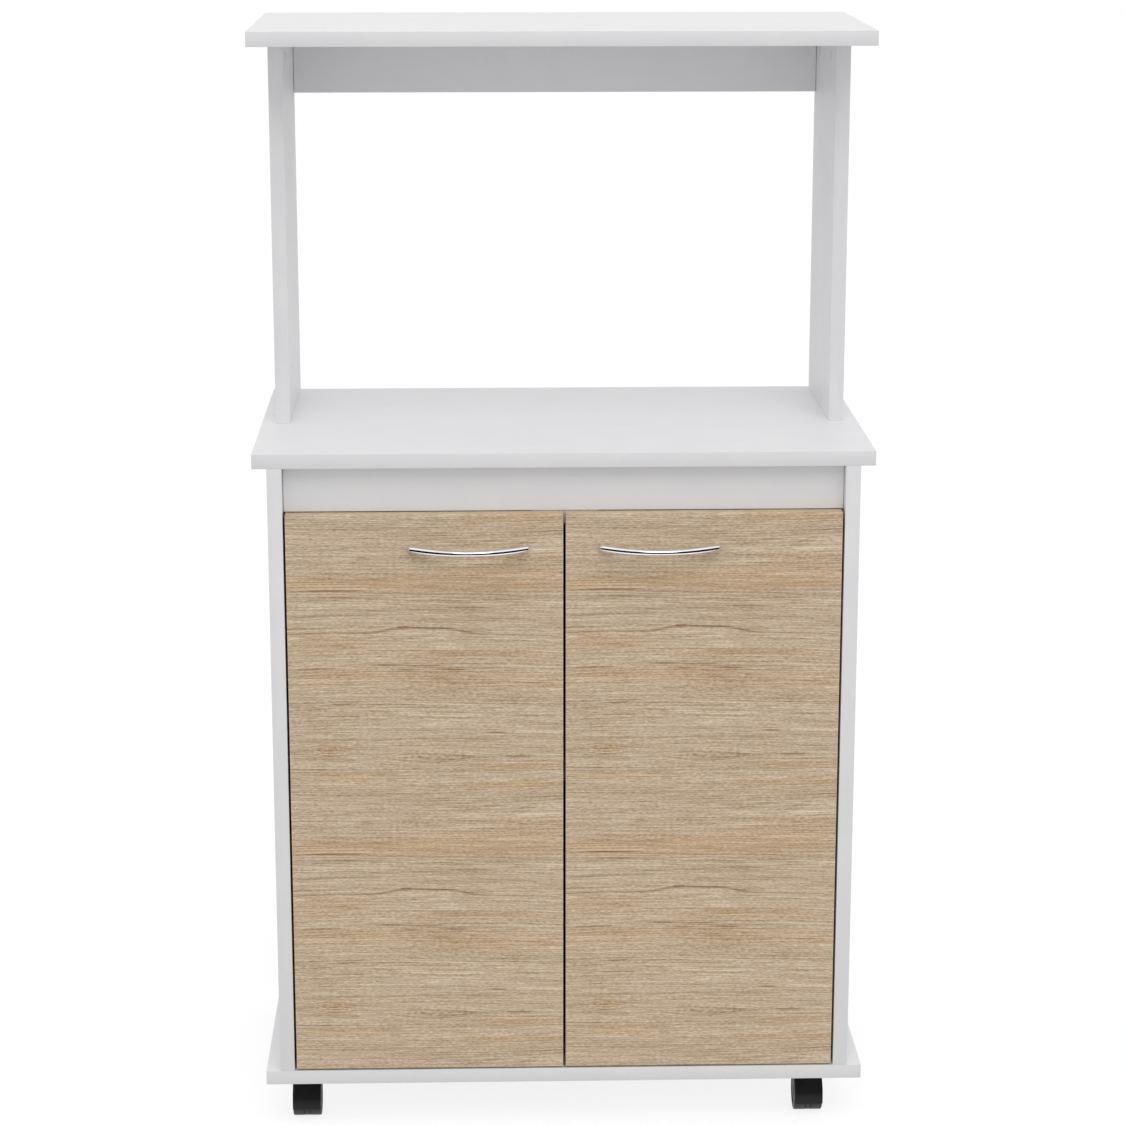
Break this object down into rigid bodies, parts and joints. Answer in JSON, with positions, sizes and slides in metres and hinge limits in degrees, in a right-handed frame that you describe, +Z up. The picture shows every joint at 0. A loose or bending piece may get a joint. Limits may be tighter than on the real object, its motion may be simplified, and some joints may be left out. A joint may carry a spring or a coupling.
{
  "type": "kitchen microwave cabinet",
  "caption": "Free-standing kitchen cabinet on swivel casters: oak-faced cupboard doors with bow handles under a white worktop, with an open microwave bay and top shelf on uprights.",
  "frame": {"origin": "on the floor, at the middle of the overall width and depth, handles included", "axes": "+Z up, +Y towards the back panel, -Y towards the doors' faces, +X to the right of someone facing the doors"},
  "size_m": [0.63, 0.389, 1.145],
  "materials": {
    "white_board": "white melamine-faced board, fine matt grain",
    "oak_door": "light oak decor, grain across, matt",
    "hardboard": "white-lacquered hardboard",
    "beech": "plain beech",
    "zinc": "die-cast zinc, dull",
    "steel": "nickel-plated steel",
    "satin_chrome": "satin chrome plate",
    "white_plastic": "moulded, matt",
    "ferrite": "sintered ferrite",
    "black_plastic": "moulded nylon, satin"
  },
  "bodies": {
    "cabinet": {"base_panel": "white_board", "side_panel_left": "white_board", "side_panel_right": "white_board", "worktop": "white_board", "back_panel": "hardboard", "front_rail": "white_board", "inner_shelf": "white_board", "upright_left": "white_board", "upright_right": "white_board", "top_shelf": "white_board", "upper_rail": "white_board", "cam_locks": "zinc", "cam_bolts": "zinc", "cam_caps": "white_plastic", "wood_dowels": "beech", "panel_screws": "steel", "back_panel_nails": "steel", "shelf_pins": "steel", "magnetic_catch": "white_plastic", "catch_magnets": "ferrite", "catch_screws": "steel", "hinge_plates": "steel", "hinge_screws": "steel", "hinge_arm_left_lower": "steel", "hinge_arm_left_upper": "steel", "hinge_arm_right_lower": "steel", "hinge_arm_right_upper": "steel", "caster_plates": "steel", "caster_screws": "steel"},
    "left_door": {"door_left": "oak_door", "handle_left": "satin_chrome", "handle_screws_left": "steel", "strike_plate_left": "steel", "hinge_cups_left": "steel", "hinge_pins_left": "steel", "hinge_cup_screws_left": "steel"},
    "right_door": {"door_right": "oak_door", "handle_right": "satin_chrome", "handle_screws_right": "steel", "strike_plate_right": "steel", "hinge_cups_right": "steel", "hinge_pins_right": "steel", "hinge_cup_screws_right": "steel"},
    "caster_front_left": {"caster_body_front_left": "black_plastic", "caster_axle_front_left": "steel"},
    "wheel_front_left_left": {"caster_wheel_front_left_left": "black_plastic"},
    "wheel_front_left_right": {"caster_wheel_front_left_right": "black_plastic"},
    "caster_front_right": {"caster_body_front_right": "black_plastic", "caster_axle_front_right": "steel"},
    "wheel_front_right_left": {"caster_wheel_front_right_left": "black_plastic"},
    "wheel_front_right_right": {"caster_wheel_front_right_right": "black_plastic"},
    "caster_rear_left": {"caster_body_rear_left": "black_plastic", "caster_axle_rear_left": "steel"},
    "wheel_rear_left_left": {"caster_wheel_rear_left_left": "black_plastic"},
    "wheel_rear_left_right": {"caster_wheel_rear_left_right": "black_plastic"},
    "caster_rear_right": {"caster_body_rear_right": "black_plastic", "caster_axle_rear_right": "steel"},
    "wheel_rear_right_left": {"caster_wheel_rear_right_left": "black_plastic"},
    "wheel_rear_right_right": {"caster_wheel_rear_right_right": "black_plastic"}
  },
  "joints": [
    {"name": "left_door_hinge", "type": "hinge", "parent": "cabinet", "child": "left_door", "pos_m": [-0.263, -0.1575, 0.367], "axis": [0, 0, -1], "range_deg": [0, 100]},
    {"name": "right_door_hinge", "type": "hinge", "parent": "cabinet", "child": "right_door", "pos_m": [0.263, -0.1575, 0.367], "axis": [0, 0, 1], "range_deg": [0, 100]},
    {"name": "caster_swivel_front_left", "type": "hinge", "parent": "cabinet", "child": "caster_front_left", "pos_m": [-0.274, -0.112, 0.045], "axis": [0, 0, 1], "continuous": true},
    {"name": "wheel_spin_front_left_left", "type": "hinge", "parent": "caster_front_left", "child": "wheel_front_left_left", "pos_m": [-0.283, -0.128, 0.02], "axis": [1, 0, 0], "continuous": true},
    {"name": "wheel_spin_front_left_right", "type": "hinge", "parent": "caster_front_left", "child": "wheel_front_left_right", "pos_m": [-0.265, -0.128, 0.02], "axis": [1, 0, 0], "continuous": true},
    {"name": "caster_swivel_front_right", "type": "hinge", "parent": "cabinet", "child": "caster_front_right", "pos_m": [0.262, -0.112, 0.045], "axis": [0, 0, 1], "continuous": true},
    {"name": "wheel_spin_front_right_left", "type": "hinge", "parent": "caster_front_right", "child": "wheel_front_right_left", "pos_m": [0.253, -0.128, 0.02], "axis": [1, 0, 0], "continuous": true},
    {"name": "wheel_spin_front_right_right", "type": "hinge", "parent": "caster_front_right", "child": "wheel_front_right_right", "pos_m": [0.271, -0.128, 0.02], "axis": [1, 0, 0], "continuous": true},
    {"name": "caster_swivel_rear_left", "type": "hinge", "parent": "cabinet", "child": "caster_rear_left", "pos_m": [-0.274, 0.141, 0.045], "axis": [0, 0, 1], "continuous": true},
    {"name": "wheel_spin_rear_left_left", "type": "hinge", "parent": "caster_rear_left", "child": "wheel_rear_left_left", "pos_m": [-0.283, 0.157, 0.02], "axis": [1, 0, 0], "continuous": true},
    {"name": "wheel_spin_rear_left_right", "type": "hinge", "parent": "caster_rear_left", "child": "wheel_rear_left_right", "pos_m": [-0.265, 0.157, 0.02], "axis": [1, 0, 0], "continuous": true},
    {"name": "caster_swivel_rear_right", "type": "hinge", "parent": "cabinet", "child": "caster_rear_right", "pos_m": [0.262, 0.141, 0.045], "axis": [0, 0, 1], "continuous": true},
    {"name": "wheel_spin_rear_right_left", "type": "hinge", "parent": "caster_rear_right", "child": "wheel_rear_right_left", "pos_m": [0.253, 0.157, 0.02], "axis": [1, 0, 0], "continuous": true},
    {"name": "wheel_spin_rear_right_right", "type": "hinge", "parent": "caster_rear_right", "child": "wheel_rear_right_right", "pos_m": [0.271, 0.157, 0.02], "axis": [1, 0, 0], "continuous": true}
  ]
}
